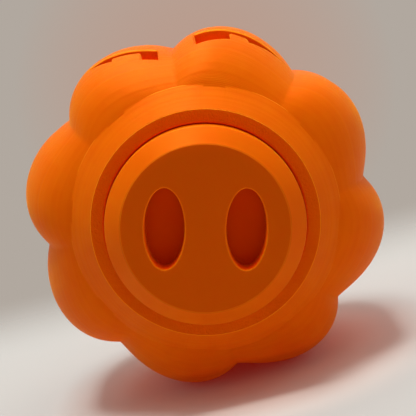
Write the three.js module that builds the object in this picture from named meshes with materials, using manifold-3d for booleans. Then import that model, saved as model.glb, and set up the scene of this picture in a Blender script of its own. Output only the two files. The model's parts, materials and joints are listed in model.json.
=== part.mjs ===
// Pumpkin treat dispenser: a lobed hollow shell with a carved grin, closed at its base by a screw lid.
// Millimetres. Every piece is drawn upright, with the stem up along +Z and the carved face towards -Y.
// The whole is then laid on its back, so the lid looks along -Y and the part stands on two lobes.

import * as THREE from 'three';
import { mergeVertices } from 'three/addons/utils/BufferGeometryUtils.js';
import Module from 'manifold-3d';

const wasm = await Module();
wasm.setup();

// Lobed body
const LOBE_COUNT = 8;
const BODY_RADIUS = 50; // over the tops of the lobes
const LOBE_ROUND = 20.3; // radius of one lobe's round, seen along the stem
const SHOULDER = 24.2; // how far the body rounds inwards from its waist to its crest
const BASE_DEPTH = 32.03; // from the waist down to the lobes' lowest ring
const CROWN_HEIGHT = 36.5; // from the waist up to the crest
const BAND_BELOW = 10; // reach below the waist of the straight band that the part stands on
const BAND_ABOVE = 5; // its reach above the waist
const ROUNDNESS = 2; // 2 rounds the shoulders as ellipses, more makes them squarer
const CREASE_FADE = 2.2; // how soon the creases run out towards the collar, as a power
const CREASE_TURN = THREE.MathUtils.degToRad(2.1); // clockwise from the face, seen from the base, to a crease
const LOBE_LEAN = THREE.MathUtils.degToRad(2.4); // how far a lobe's top lies short of midway between creases
const BASE_LEAN = THREE.MathUtils.degToRad(8.7); // the same at the base, where the lobes swirl
const CROWN_LOBES = 0.5; // share of the creases' depth that is left at the crest
const DIMPLE_DEPTH = 7; // hollow round the stem
const WALL = 3;

// Stem
const STEM_RADIUS = 8.5;
const STEM_FLARE = 4.5; // how much wider its root is
const STEM_HEIGHT = 17; // above the bottom of the dimple
const STEM_ROOT = 1.5; // depth of its root in the crown
const STEM_LEAN = 3.5;
const STEM_RIBS = 5;
const STEM_RIB_DEPTH = 1.2;

// Collar and neck at the base
const COLLAR_RISE = 3.57; // its flat face stands this far below the lobes
const COLLAR_FACE_WIDTH = 3.5; // of the flat ring round the lid
const COLLAR_CONE = 6; // length of its 45 degree cone, measured square to the face
const COLLAR_RIM = 2; // straight rim behind the cone, which shows only at the creases
const SEAT_DEPTH = 3.5; // from the collar's face to the seat under the lid
const NECK_WALL = 3.2;
const NECK_LENGTH = 9;
const FLANGE_WIDTH = 3; // stiffening round the root of the neck
const FLANGE_THICKNESS = 3;

// Screw lid
const LID_RADIUS = 25.85;
const LID_BEVEL_WIDTH = 4.25;
const LID_BEVEL_HEIGHT = 3.85;
const LID_HEAD_HEIGHT = 9;
const LID_WALL = 2.2;
const LID_CLOCK = THREE.MathUtils.degToRad(14.3); // how far the closed lid is turned from the face
const LID_LEDGE = 4.45; // how far the head stands out past the plug
const PLUG_LENGTH = 10.4;
const PLUG_LEAD_IN = 0.8;
const WELL_HALF_WIDTH = 5.15; // finger wells
const WELL_HALF_LENGTH = 10.45;
const WELL_SPREAD = 10.4; // from the lid's centre to a well's centre
const WELL_DEPTH = 6.6;
const WELL_WALL = 1.8;

// Seal ring under the lid's head
const RING_THICKNESS = 1.4;
const RING_INSET = 0.7; // how far its rim stays inside the lid's

// Running clearances
const LID_GAP = 0.4; // round the lid's head
const THREAD_GAP = 0.4; // round the plug
const RING_GAP = 0.35; // between the plug and the seal ring
const SEAT_GAP = 0.3; // above and below the seal ring

// Carved face, measured across (x) and up (z) on the front of the upright body
const FACE_CENTRE = 3.7;
const MOUTH_HALF_WIDTH = 26.5;
const UPPER_LIP = -14.5; // height at the middle of the mouth
const LOWER_LIP = -21.2;
const MOUTH_CORNER = -14.5; // height of both corners
const MOUTH_SLANT = -0.03; // rise of the whole mouth for each millimetre across
const MOUTH_BRIDGE = [-2.1, 8.6]; // uncut middle that ties the lips together
const LEFT_TOOTH = [-14.4, -6.4];
const RIGHT_TOOTH = [17.7, 22.3];
const TOOTH_GAP = 2; // left open above a tooth
const TOOTH_ROUND = 0.7;
const EYE_SPREAD = 14; // from the face's centre to an eye's centre
const EYE_WIDTH = 12;
const EYE_HEIGHT = 10;
const EYE_BASE = 4; // height of the eyes' lower edges

// Facets
const LOBE_FACETS = 8;
const CHAMBER_FACETS = 4; // per lobe, inside
const SHOULDER_FACETS = 11;
const DIMPLE_FACETS = 5;
const ROUND_FACETS = 48;
const STEM_FACETS = 30;
const OVAL_FACETS = 16;
const LIP_STEP = 3;

const OVERRUN = 2; // how far a cutter passes the face that it opens
const ORANGE = new THREE.MeshStandardMaterial({ color: '#f26a10', roughness: 0.5, metalness: 0 });
const SEAL = new THREE.MeshStandardMaterial({ color: '#d9d4c8', roughness: 0.7, metalness: 0 });

// Heights along the stem's axis, from the waist
const dimpleFloor = CROWN_HEIGHT - DIMPLE_DEPTH;
const crestRadius = BODY_RADIUS - SHOULDER;
const collarFace = -BASE_DEPTH - COLLAR_RISE;
const seat = collarFace + SEAT_DEPTH;
const headUnderside = seat - RING_THICKNESS - 2 * SEAT_GAP;
const lidFace = headUnderside - LID_HEAD_HEIGHT;
const plugEnd = headUnderside + PLUG_LENGTH;
const neckEnd = seat + NECK_LENGTH;

// Radii that follow from the lid
const seatRadius = LID_RADIUS + LID_GAP;
const collarFaceRadius = seatRadius + COLLAR_FACE_WIDTH;
const plugRadius = LID_RADIUS - LID_LEDGE;
const boreRadius = plugRadius + THREAD_GAP;

/** Turns a closed geometry into a solid, with its shared corners merged and slivers at the poles dropped. */
function toSolid(geometry) {
  const bare = geometry.index ? geometry.clone() : geometry;
  bare.deleteAttribute('normal');
  bare.deleteAttribute('uv');
  const merged = mergeVertices(bare, 1e-4);
  const corners = merged.index.array;
  const kept = [];
  for (let i = 0; i < corners.length; i += 3) {
    const [a, b, c] = corners.slice(i, i + 3);
    if (a !== b && b !== c && c !== a) kept.push(a, b, c);
  }
  const mesh = new wasm.Mesh({
    numProp: 3,
    vertProperties: new Float32Array(merged.attributes.position.array),
    triVerts: new Uint32Array(kept),
  });
  return new wasm.Manifold(mesh);
}

/** Turns a solid back into a flat-shaded geometry. */
function toGeometry(solid) {
  const { vertProperties, triVerts } = solid.getMesh();
  const geometry = new THREE.BufferGeometry();
  geometry.setAttribute('position', new THREE.BufferAttribute(vertProperties, 3));
  geometry.setIndex(new THREE.BufferAttribute(triVerts, 1));
  geometry.computeVertexNormals();
  return geometry;
}

/** Revolves a profile of [radius, height] points about the stem's axis, starting at the face. */
function revolve(profile, facets = ROUND_FACETS) {
  const points = profile.map(([radius, height]) => new THREE.Vector2(radius, height));
  return new THREE.LatheGeometry(points, facets).rotateX(Math.PI / 2);
}

/** A solid cylinder on the stem's axis between two heights. */
function cylinder(radius, low, high) {
  return toSolid(revolve([[0, low], [radius, low], [radius, high], [0, high]]));
}

/** Extrudes an outline drawn on the front of the body from the stem's axis out through the wall. */
function frontCutter(outline) {
  const reach = BODY_RADIUS + OVERRUN;
  const geometry = new THREE.ExtrudeGeometry(outline, { depth: reach, bevelEnabled: false });
  return toSolid(geometry.rotateX(Math.PI / 2));
}

/** How far the body is cut in at an angle past a crease: not at all on a lobe's leaning top. */
function creaseDepth(angle, lean) {
  const lobe = (2 * Math.PI) / LOBE_COUNT;
  const offMiddle = (((angle % lobe) + lobe) % lobe) - lobe / 2;
  const offTop = offMiddle + lean * (1 - ((2 * offMiddle) / lobe) ** 2);
  const centre = BODY_RADIUS - LOBE_ROUND;
  const chord = LOBE_ROUND ** 2 - (centre * Math.sin(offTop)) ** 2;
  return BODY_RADIUS - centre * Math.cos(offTop) - Math.sqrt(chord);
}

/** The body's meridian from the base to the dimple: points, normals, share of crease and lean. */
function meridian() {
  const rows = [{ radius: 0, height: -BASE_DEPTH, out: [0, -1], share: 0, lean: BASE_LEAN }];
  for (const side of [-1, 1]) {
    const band = side < 0 ? BAND_BELOW : BAND_ABOVE;
    const rise = (side < 0 ? BASE_DEPTH : CROWN_HEIGHT) - band;
    for (let i = 0; i <= SHOULDER_FACETS; i += 1) {
      const step = side < 0 ? SHOULDER_FACETS - i : i;
      const turn = (step / SHOULDER_FACETS) * (Math.PI / 2);
      const across = Math.cos(turn) ** (2 / ROUNDNESS);
      const up = Math.sin(turn) ** (2 / ROUNDNESS);
      const out = new THREE.Vector2(across ** (ROUNDNESS - 1) / SHOULDER, up ** (ROUNDNESS - 1) / rise);
      out.normalize();
      const fade = Math.cos(turn);
      rows.push({
        radius: crestRadius + SHOULDER * across,
        height: side * (band + rise * up),
        out: [out.x, side * out.y],
        share: side < 0 ? fade ** CREASE_FADE : CROWN_LOBES + (1 - CROWN_LOBES) * fade ** 2,
        lean: side < 0 ? LOBE_LEAN + (BASE_LEAN - LOBE_LEAN) * up : LOBE_LEAN,
      });
    }
  }
  for (let i = 1; i <= DIMPLE_FACETS; i += 1) {
    const left = 1 - i / DIMPLE_FACETS;
    const slope = (DIMPLE_DEPTH * Math.PI * Math.sin(Math.PI * left)) / (2 * crestRadius);
    const out = new THREE.Vector2(-slope, 1).normalize();
    rows.push({
      radius: crestRadius * left,
      height: CROWN_HEIGHT - (DIMPLE_DEPTH * (1 + Math.cos(Math.PI * left))) / 2,
      out: i === DIMPLE_FACETS ? [0, 1] : [out.x, out.y],
      share: CROWN_LOBES * left,
      lean: LOBE_LEAN,
    });
  }
  return rows;
}

/** The lobed body, drawn in by an even inset: none for its outside, the wall for the treat chamber. */
function lobedBody(inset, lobeFacets) {
  const rows = meridian();
  const facets = LOBE_COUNT * lobeFacets;
  const geometry = revolve(rows.map((row) => [row.radius, row.height]), facets);
  const position = geometry.attributes.position;
  for (let i = 0; i < position.count; i += 1) {
    const row = rows[i % rows.length];
    const pastCrease = (Math.floor(i / rows.length) / facets) * 2 * Math.PI;
    const angle = pastCrease + CREASE_TURN;
    const cut = inset + creaseDepth(pastCrease, row.lean) * row.share;
    const radius = row.radius === 0 ? 0 : row.radius - cut * row.out[0];
    position.setXYZ(i, radius * Math.sin(angle), -radius * Math.cos(angle), row.height - cut * row.out[1]);
  }
  return toSolid(geometry);
}

/** A ribbed stem that flares at its root and leans as it rises. */
function stem() {
  const foot = dimpleFloor - STEM_ROOT;
  const top = dimpleFloor + STEM_HEIGHT;
  const levels = [0, 0.15, 0.4, 0.7, 1];
  const profile = levels.map((level) => [
    STEM_RADIUS + STEM_FLARE * (1 - level) ** 3,
    foot + (top - foot) * level,
  ]);
  const geometry = revolve([[0, foot], ...profile, [0, top]], STEM_FACETS);
  const position = geometry.attributes.position;
  for (let i = 0; i < position.count; i += 1) {
    const x = position.getX(i);
    const y = position.getY(i);
    const level = (position.getZ(i) - foot) / (top - foot);
    const radius = Math.hypot(x, y);
    const rib = STEM_RIB_DEPTH * (1 - Math.cos(STEM_RIBS * Math.atan2(y, x))) / 2;
    const drawnIn = radius > 0 ? (radius - rib) / radius : 1;
    position.setX(i, x * drawnIn + STEM_LEAN * level ** 2);
    position.setY(i, y * drawnIn);
  }
  return toSolid(geometry);
}

/** The cone round the lid, whose flat front face is the one that the print stood on. */
function collar() {
  const foot = collarFace + COLLAR_CONE;
  return toSolid(revolve([
    [0, collarFace],
    [collarFaceRadius, collarFace],
    [collarFaceRadius + COLLAR_CONE, foot],
    [collarFaceRadius + COLLAR_CONE, foot + COLLAR_RIM],
    [0, foot + COLLAR_RIM],
  ], LOBE_COUNT * LOBE_FACETS));
}

/** The threaded neck inside the base, with the flange that stiffens its root. */
function neck() {
  const outside = boreRadius + NECK_WALL;
  const flangeTop = seat + FLANGE_THICKNESS;
  return toSolid(revolve([
    [0, seat],
    [outside + FLANGE_WIDTH, seat],
    [outside + FLANGE_WIDTH, flangeTop],
    [outside, flangeTop],
    [outside, neckEnd],
    [0, neckEnd],
  ]));
}

/** Height of a lip across the mouth: its middle height, curving to the corners, on a slight slant. */
function lipHeight(middle, x) {
  const across = x - FACE_CENTRE;
  return middle + (MOUTH_CORNER - middle) * (across / MOUTH_HALF_WIDTH) ** 2 + MOUTH_SLANT * across;
}

/** Points along a lip between two places across the mouth, ends included. */
function lipPoints(middle, from, to) {
  const count = Math.max(1, Math.round(Math.abs(to - from) / LIP_STEP));
  return Array.from({ length: count + 1 }, (_, i) => {
    const x = from + ((to - from) * i) / count;
    return new THREE.Vector2(x, lipHeight(middle, x));
  });
}

/** One half of the grin, from the bridge out to a corner, with a tooth that stands on the lower lip. */
function mouthHalf(bridgeEdge, corner, tooth) {
  const outwards = Math.sign(corner - bridgeEdge);
  const [near, far] = outwards > 0 ? tooth : [...tooth].reverse();
  const tip = (x) => lipHeight(UPPER_LIP, x) - TOOTH_GAP;
  const cornerCut = outwards * TOOTH_ROUND;
  return new THREE.Shape([
    ...lipPoints(LOWER_LIP, bridgeEdge, near),
    new THREE.Vector2(near, tip(near) - TOOTH_ROUND),
    new THREE.Vector2(near + cornerCut, tip(near)),
    new THREE.Vector2(far - cornerCut, tip(far)),
    new THREE.Vector2(far, tip(far) - TOOTH_ROUND),
    ...lipPoints(LOWER_LIP, far, corner),
    ...lipPoints(UPPER_LIP, corner, bridgeEdge).slice(1),
  ]);
}

/** A triangular eye that points up, centred across at x. */
function eye(x) {
  return new THREE.Shape([
    new THREE.Vector2(x - EYE_WIDTH / 2, EYE_BASE),
    new THREE.Vector2(x + EYE_WIDTH / 2, EYE_BASE),
    new THREE.Vector2(x, EYE_BASE + EYE_HEIGHT),
  ]);
}

/** Outlines of all that is carved through the front wall. */
function faceOutlines() {
  return [
    mouthHalf(MOUTH_BRIDGE[0], FACE_CENTRE - MOUTH_HALF_WIDTH, LEFT_TOOTH),
    mouthHalf(MOUTH_BRIDGE[1], FACE_CENTRE + MOUTH_HALF_WIDTH, RIGHT_TOOTH),
    eye(FACE_CENTRE - EYE_SPREAD),
    eye(FACE_CENTRE + EYE_SPREAD),
  ];
}

/** The shell: lobes, collar, neck and stem in one print, hollow, with its base bored for the lid. */
function pumpkinShell() {
  let shell = lobedBody(0, LOBE_FACETS).add(collar()).add(stem());
  shell = shell.subtract(lobedBody(WALL, CHAMBER_FACETS)).add(neck());
  shell = shell.subtract(cylinder(seatRadius, collarFace - OVERRUN, seat));
  shell = shell.subtract(cylinder(boreRadius, seat - OVERRUN, neckEnd + OVERRUN));
  for (const outline of faceOutlines()) {
    shell = shell.subtract(frontCutter(outline));
  }
  return toGeometry(shell);
}

/** An upright oval column beside the lid's centre, grown by a wall, from one height to another. */
function wellColumn(side, grow, low, high) {
  const oval = new THREE.Shape();
  oval.absellipse(side * WELL_SPREAD, 0, WELL_HALF_WIDTH + grow, WELL_HALF_LENGTH + grow, 0, 2 * Math.PI);
  const column = { depth: high - low, bevelEnabled: false, curveSegments: OVAL_FACETS };
  return toSolid(new THREE.ExtrudeGeometry(oval, column).translate(0, 0, low));
}

/** The lid: bevelled head, threaded plug hollow from inside, and two blind wells for finger and thumb. */
function twistLid() {
  let lid = toSolid(revolve([
    [0, lidFace],
    [LID_RADIUS - LID_BEVEL_WIDTH, lidFace],
    [LID_RADIUS, lidFace + LID_BEVEL_HEIGHT],
    [LID_RADIUS, headUnderside],
    [plugRadius, headUnderside],
    [plugRadius, plugEnd - PLUG_LEAD_IN],
    [plugRadius - PLUG_LEAD_IN, plugEnd],
    [0, plugEnd],
  ]));
  let hollow = cylinder(plugRadius - LID_WALL, lidFace + LID_WALL, plugEnd + OVERRUN);
  const wellFloor = lidFace + WELL_DEPTH;
  for (const side of [-1, 1]) {
    hollow = hollow.subtract(wellColumn(side, WELL_WALL, lidFace, wellFloor + WELL_WALL));
  }
  lid = lid.subtract(hollow);
  for (const side of [-1, 1]) {
    lid = lid.subtract(wellColumn(side, 0, lidFace - OVERRUN, wellFloor));
  }
  return toGeometry(lid);
}

/** The flat seal ring between the lid's head and its seat. */
function sealRing() {
  const inside = plugRadius + RING_GAP;
  const outside = LID_RADIUS - RING_INSET;
  const low = headUnderside + SEAT_GAP;
  const high = low + RING_THICKNESS;
  return toGeometry(toSolid(revolve([
    [outside, low],
    [outside, high],
    [inside, high],
    [inside, low],
    [outside, low],
  ])));
}

/** A named mesh. */
function piece(name, geometry, material) {
  const mesh = new THREE.Mesh(geometry, material);
  mesh.name = name;
  return mesh;
}

const lid = piece('twist_lid', twistLid(), ORANGE);
lid.rotation.z = LID_CLOCK;

const upright = new THREE.Group();
upright.add(piece('pumpkin_shell', pumpkinShell(), ORANGE), lid, piece('lid_seal_ring', sealRing(), SEAL));

// Laid on its back, centred over the origin and standing on the floor
upright.rotation.x = -Math.PI / 2;
const dispenser = new THREE.Group();
dispenser.add(upright);
const box = new THREE.Box3().setFromObject(dispenser, true);
upright.position.set(-(box.min.x + box.max.x) / 2, -(box.min.y + box.max.y) / 2, -box.min.z);

export default dispenser;
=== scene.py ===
"""Looks of a pumpkin treat dispenser: a printed shell, its screw lid and the lid's seal ring.

Every piece is drawn upright in millimetres, with the stem up along +Z and the carved face towards -Y,
and is then laid on its back where the frame has it.
"""

from __future__ import annotations

import json
import logging
import math
from collections.abc import Callable, Iterator, Sequence
from dataclasses import dataclass, field
from enum import Enum
from functools import partial

import bmesh
import bpy
from mathutils import Matrix, Vector
from mathutils.bvhtree import BVHTree

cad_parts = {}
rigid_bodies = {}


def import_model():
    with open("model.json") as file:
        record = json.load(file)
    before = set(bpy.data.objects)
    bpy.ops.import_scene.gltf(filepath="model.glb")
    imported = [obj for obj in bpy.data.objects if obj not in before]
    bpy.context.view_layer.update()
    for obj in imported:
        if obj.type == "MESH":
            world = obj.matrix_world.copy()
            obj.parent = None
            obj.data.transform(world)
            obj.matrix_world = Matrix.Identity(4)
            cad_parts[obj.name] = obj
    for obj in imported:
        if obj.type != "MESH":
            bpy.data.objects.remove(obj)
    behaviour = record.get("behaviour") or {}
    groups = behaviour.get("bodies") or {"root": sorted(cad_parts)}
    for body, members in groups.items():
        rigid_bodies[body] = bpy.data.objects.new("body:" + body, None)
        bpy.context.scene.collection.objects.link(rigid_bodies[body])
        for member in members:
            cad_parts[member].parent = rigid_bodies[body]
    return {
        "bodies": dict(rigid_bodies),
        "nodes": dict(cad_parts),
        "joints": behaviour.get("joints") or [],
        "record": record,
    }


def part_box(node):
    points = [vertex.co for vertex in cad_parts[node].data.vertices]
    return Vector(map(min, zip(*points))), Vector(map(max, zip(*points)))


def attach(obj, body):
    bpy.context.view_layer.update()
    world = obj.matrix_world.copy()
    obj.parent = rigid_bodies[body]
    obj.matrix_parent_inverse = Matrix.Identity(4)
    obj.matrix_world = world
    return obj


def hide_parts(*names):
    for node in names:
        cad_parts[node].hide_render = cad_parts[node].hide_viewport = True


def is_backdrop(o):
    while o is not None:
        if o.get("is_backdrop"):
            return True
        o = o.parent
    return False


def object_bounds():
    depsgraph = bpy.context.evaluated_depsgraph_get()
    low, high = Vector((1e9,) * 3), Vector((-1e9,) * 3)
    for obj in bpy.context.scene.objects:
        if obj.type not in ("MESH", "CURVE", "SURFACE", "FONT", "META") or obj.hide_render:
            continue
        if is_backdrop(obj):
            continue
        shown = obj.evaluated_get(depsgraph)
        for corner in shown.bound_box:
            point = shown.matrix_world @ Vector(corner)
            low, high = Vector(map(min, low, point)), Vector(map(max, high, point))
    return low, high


LOG = logging.getLogger("pumpkin")
MM = 0.001
OVERRUN = 2.0  # mm that a cutter passes the face it opens
SHARP_ANGLE = math.radians(32)  # edges that turn more than this stay crisp
SMALL_ROUND = 0.35  # mm, how a nozzle rounds the edges of a print
ROUND_STEPS = 5  # straight stretches in one rounded corner
LAYER = 0.2  # mm, the print's layer height
WITHIN = "within"  # name of the attribute that says how deep a place lies under the skin, which sets the painted glow and the painted shade in recesses
HIGHLIT_EDGE = "edge"  # name of the attribute that marks rounded edges, which get a painted highlight
EDGE_FACE = 0.3  # mm2, the largest face of a rounded edge
SLIVER = 0.001  # mm, corners that lie closer than this are one
MITRE_LIMIT = 0.5  # a mitred corner moves at most one over this as far as its sides
FLAT_WEIGHT = 100  # large faces rule the shading of corners that they share; at 50 all faces count alike

Point = tuple[float, float]
Outline = list[Point]
Value = object  # a socket, or a plain value for one
Inputs = dict[str | int, Value]  # a node's inputs, by name or number
Socket = bpy.types.NodeSocket
NodeAdder = Callable[..., Socket]  # add_node for one tree


class Join(Enum):
    """How one solid is combined with another."""

    ADD = "UNION"
    CUT = "DIFFERENCE"


class End(Enum):
    """The two ends of the lobed body, by their direction along the stem."""

    BASE = -1
    CROWN = 1


def linear_colour(code: str) -> tuple[float, float, float, float]:
    """Turns an sRGB hex colour into linear RGBA.

    Args:
        code: the colour, such as "#ff6500".

    Returns:
        Red, green, blue and an alpha of 1.
    """
    channels = [int(code[i : i + 2], 16) / 255 for i in (1, 3, 5)]
    red, green, blue = (c / 12.92 if c <= 0.04045 else ((c + 0.055) / 1.055) ** 2.4 for c in channels)
    return red, green, blue, 1.0


def feed(tree: bpy.types.NodeTree, node: bpy.types.Node, inputs: Inputs) -> None:
    """Sets a node's inputs.

    Args:
        tree: the node's tree.
        node: the node.
        inputs: a plain value, or the socket that feeds it, for each input.
    """
    for key, value in inputs.items():
        if isinstance(value, Socket):
            tree.links.new(value, node.inputs[key])
        else:
            node.inputs[key].default_value = value


def add_node(
    tree: bpy.types.NodeTree, kind: str, inputs: Inputs | None = None, out: str | int = 0, **settings: Value
) -> Socket:
    """Adds a node with its settings and links.

    Args:
        tree: the node tree that gets the node.
        kind: the node's type name.
        inputs: what goes in, as feed takes it.
        out: the wanted output, by name or number.
        settings: the node's own properties.

    Returns:
        The wanted output.
    """
    node = tree.nodes.new(kind)
    for name, value in settings.items():
        setattr(node, name, value)
    feed(tree, node, inputs or {})
    return node.outputs[out]


def new_material(name: str) -> tuple[bpy.types.Material, bpy.types.Node, NodeAdder]:
    """Starts a material.

    Args:
        name: its name.

    Returns:
        The material, its main shader and what adds nodes to its tree.
    """
    made = bpy.data.materials.new(name)
    made.use_nodes = True
    return made, made.node_tree.nodes["Principled BSDF"], partial(add_node, made.node_tree)


class ShapeTree:
    """A Geometry Nodes tree with named inputs for its sizes, run once to give a plain mesh."""

    def __init__(self, name: str, sizes: Sequence[str]) -> None:
        """Starts the tree.

        Args:
            name: the tree's name.
            sizes: the names of its number inputs.
        """
        self.tree = bpy.data.node_groups.new(name, "GeometryNodeTree")
        interface = self.tree.interface
        interface.new_socket("Geometry", in_out="INPUT", socket_type="NodeSocketGeometry")
        for size in sizes:
            interface.new_socket(size, in_out="INPUT", socket_type="NodeSocketFloat")
        interface.new_socket("Material", in_out="INPUT", socket_type="NodeSocketMaterial")
        interface.new_socket("Geometry", in_out="OUTPUT", socket_type="NodeSocketGeometry")
        self.add = partial(add_node, self.tree)
        self.given = self.add("NodeGroupInput").node.outputs

    def end(self, geometry: Socket) -> None:
        """Ends the tree: instances become real and get the material.

        Args:
            geometry: what the tree has made.
        """
        real = self.add("GeometryNodeRealizeInstances", {"Geometry": geometry})
        dressed = self.add("GeometryNodeSetMaterial", {0: real, "Material": self.given["Material"]})
        feed(self.tree, self.tree.nodes.new("NodeGroupOutput"), {0: dressed})

    def run(self, mesh: bpy.types.Mesh, values: dict[str, Value]) -> bpy.types.Mesh:
        """Runs the tree on a mesh.

        Args:
            mesh: what the tree starts from.
            values: the named inputs' values.

        Returns:
            The result as a plain mesh.
        """
        host = bpy.data.objects.new(self.tree.name, mesh)
        bpy.context.scene.collection.objects.link(host)
        modifier = host.modifiers.new("shape", "NODES")
        modifier.node_group = self.tree
        for socket in self.tree.interface.items_tree:
            if socket.in_out == "INPUT" and socket.name in values:
                modifier[socket.identifier] = values[socket.name]
        return baked(host)


def baked(host: bpy.types.Object) -> bpy.types.Mesh:
    """Turns an object with modifiers into a plain mesh and removes the object.

    Args:
        host: the object.

    Returns:
        The mesh.
    """
    graph = bpy.context.evaluated_depsgraph_get()
    mesh = bpy.data.meshes.new_from_object(host.evaluated_get(graph))
    host.modifiers.clear()
    bpy.data.objects.remove(host)
    return mesh


def closed_mesh(vertices: list[Sequence[float]], faces: list[list[int]]) -> bpy.types.Mesh:
    """Makes a closed mesh whose faces point outwards.

    Args:
        vertices: its corners.
        faces: the corners of each face, by number.

    Returns:
        The mesh.
    """
    mesh = bpy.data.meshes.new("solid")
    mesh.from_pydata(vertices, [], faces)
    work = bmesh.new()
    work.from_mesh(mesh)
    bmesh.ops.recalc_face_normals(work, faces=work.faces)
    work.to_mesh(mesh)
    work.free()
    return mesh


def bridge(low: range, high: range) -> Iterator[list[int]]:
    """Gives the faces between two rings of corners, either of which may be a single pole.

    Args:
        low: the numbers of one ring's corners.
        high: the numbers of the other's.

    Returns:
        The corners of each face.
    """
    count = max(len(low), len(high))
    for i in range(count):
        j = (i + 1) % count
        corners = (low[i % len(low)], low[j % len(low)], high[j % len(high)], high[i % len(high)])
        yield list(dict.fromkeys(corners))


def revolve(profile: Sequence[Point], facets: int) -> bpy.types.Mesh:
    """Revolves a profile about the stem's axis.

    Args:
        profile: radius and height of its points, from pole to pole or all off the axis.
        facets: flats round the axis.

    Returns:
        A closed mesh.
    """
    vertices, rings, faces = [], [], []
    for radius, height in profile:
        count = facets if radius > 0 else 1
        rings.append(range(len(vertices), len(vertices) + count))
        for i in range(count):
            angle = 2 * math.pi * i / facets
            vertices.append((radius * math.sin(angle), -radius * math.cos(angle), height))
    pairs = list(zip(rings, rings[1:]))
    if profile[0][0] > 0:
        pairs.append((rings[-1], rings[0]))
    for low, high in pairs:
        faces += bridge(low, high)
    return closed_mesh(vertices, faces)


def loft(loops: Sequence[Sequence[Sequence[float]]]) -> bpy.types.Mesh:
    """Joins loops of as many points each into a closed mesh with flat ends.

    Args:
        loops: the points of each loop, from end to end.

    Returns:
        The mesh.
    """
    count = len(loops[0])
    rings = [range(i * count, (i + 1) * count) for i in range(len(loops))]
    faces = [list(rings[0]), list(rings[-1])]
    for low, high in zip(rings, rings[1:]):
        faces += bridge(low, high)
    return closed_mesh([point for loop in loops for point in loop], faces)


def rounded_profile(corners: Sequence[tuple[float, float, float]]) -> Outline:
    """Rounds the corners of an open profile.

    Args:
        corners: radius, height and rounding of each corner. The first and last stay as they are.

    Returns:
        The rounded profile.
    """
    places = [Vector(corner[:2]) for corner in corners]
    profile = [places[0]]
    for before, place, after, corner in zip(places, places[1:], places[2:], corners[1:]):
        fillet = corner[2]
        back, on = (before - place).normalized(), (after - place).normalized()
        half = back.angle(on) / 2
        reach = fillet / math.tan(half)
        centre = place + (back + on).normalized() * (fillet / math.sin(half))
        start, end = place + back * reach - centre, place + on * reach - centre
        steps = ROUND_STEPS if fillet else 0
        for i in range(steps + 1):
            profile.append(centre + start.lerp(end, i / ROUND_STEPS).normalized() * fillet)
    profile.append(places[-1])
    return [tuple(point) for point in profile]


def grown(outline: Outline, by: float) -> Outline:
    """Moves a closed outline outwards with mitred corners.

    Args:
        outline: the outline.
        by: how far it moves.

    Returns:
        The larger outline.
    """
    area = sum(a[0] * b[1] - b[0] * a[1] for a, b in zip(outline, outline[1:] + outline[:1]))
    turn = math.copysign(1, area)
    places = [Vector(point) for point in outline]
    moved = []
    for before, place, after in zip(places[-1:] + places, places, places[1:] + places[:1]):
        sides = [(place - before).normalized(), (after - place).normalized()]
        normals = [Vector((side.y, -side.x)) * turn for side in sides]
        middle = (normals[0] + normals[1]).normalized()
        moved.append(tuple(place + middle * (by / max(MITRE_LIMIT, middle.dot(normals[0])))))
    return moved


def shaded(mesh: bpy.types.Mesh) -> bpy.types.Mesh:
    """Shades a mesh smooth between its sharp edges, with large faces kept flat.

    Args:
        mesh: the mesh.

    Returns:
        The shaded mesh.
    """
    mesh.shade_smooth()
    mesh.set_sharp_from_angle(angle=SHARP_ANGLE)
    host = bpy.data.objects.new(mesh.name, mesh)
    bpy.context.scene.collection.objects.link(host)
    modifier = host.modifiers.new("split", "TRIANGULATE")
    modifier.min_vertices = 5  # faces of up to four corners stay whole
    modifier = host.modifiers.new("shading", "WEIGHTED_NORMAL")
    modifier.keep_sharp = True
    modifier.weight = FLAT_WEIGHT
    return baked(host)


def merge_slivers(mesh: bpy.types.Mesh) -> None:
    """Merges the corners that cuts have left all but on top of each other.

    Args:
        mesh: the mesh, in mm.
    """
    work = bmesh.new()
    work.from_mesh(mesh)
    bmesh.ops.remove_doubles(work, verts=work.verts, dist=SLIVER)
    bmesh.ops.dissolve_degenerate(work, edges=work.edges, dist=SLIVER)
    work.to_mesh(mesh)
    work.free()


def mark_edges(mesh: bpy.types.Mesh) -> None:
    """Marks the corners that lie on a rounded edge, for a painted highlight: all faces there are small, and
    the edge is convex.

    Args:
        mesh: the mesh, in mm.
    """
    work = bmesh.new()
    work.from_mesh(mesh)
    marks = []
    for vertex in work.verts:
        small = all(face.calc_area() < EDGE_FACE for face in vertex.link_faces)
        falls = sum((edge.other_vert(vertex).co - vertex.co).dot(vertex.normal) for edge in vertex.link_edges)
        marks.append(1.0 if small and falls < 0 else 0.0)
    work.free()
    mesh.attributes.new(HIGHLIT_EDGE, "FLOAT", "POINT").data.foreach_set("value", marks)


def combine(base: bpy.types.Mesh, tool: bpy.types.Mesh, join: Join) -> bpy.types.Mesh:
    """Adds one closed mesh to another, or cuts it out.

    Args:
        base: what is changed.
        tool: what is added or cut out.
        join: which of the two.

    Returns:
        The result.
    """
    objects = [bpy.data.objects.new(mesh.name, mesh) for mesh in (base, tool)]
    for item in objects:
        bpy.context.scene.collection.objects.link(item)
    modifier = objects[0].modifiers.new("join", "BOOLEAN")
    modifier.solver = "MANIFOLD"
    modifier.operation = join.value
    modifier.object = objects[1]
    result = baked(objects[0])
    bpy.data.objects.remove(objects[1])
    return result


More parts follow.
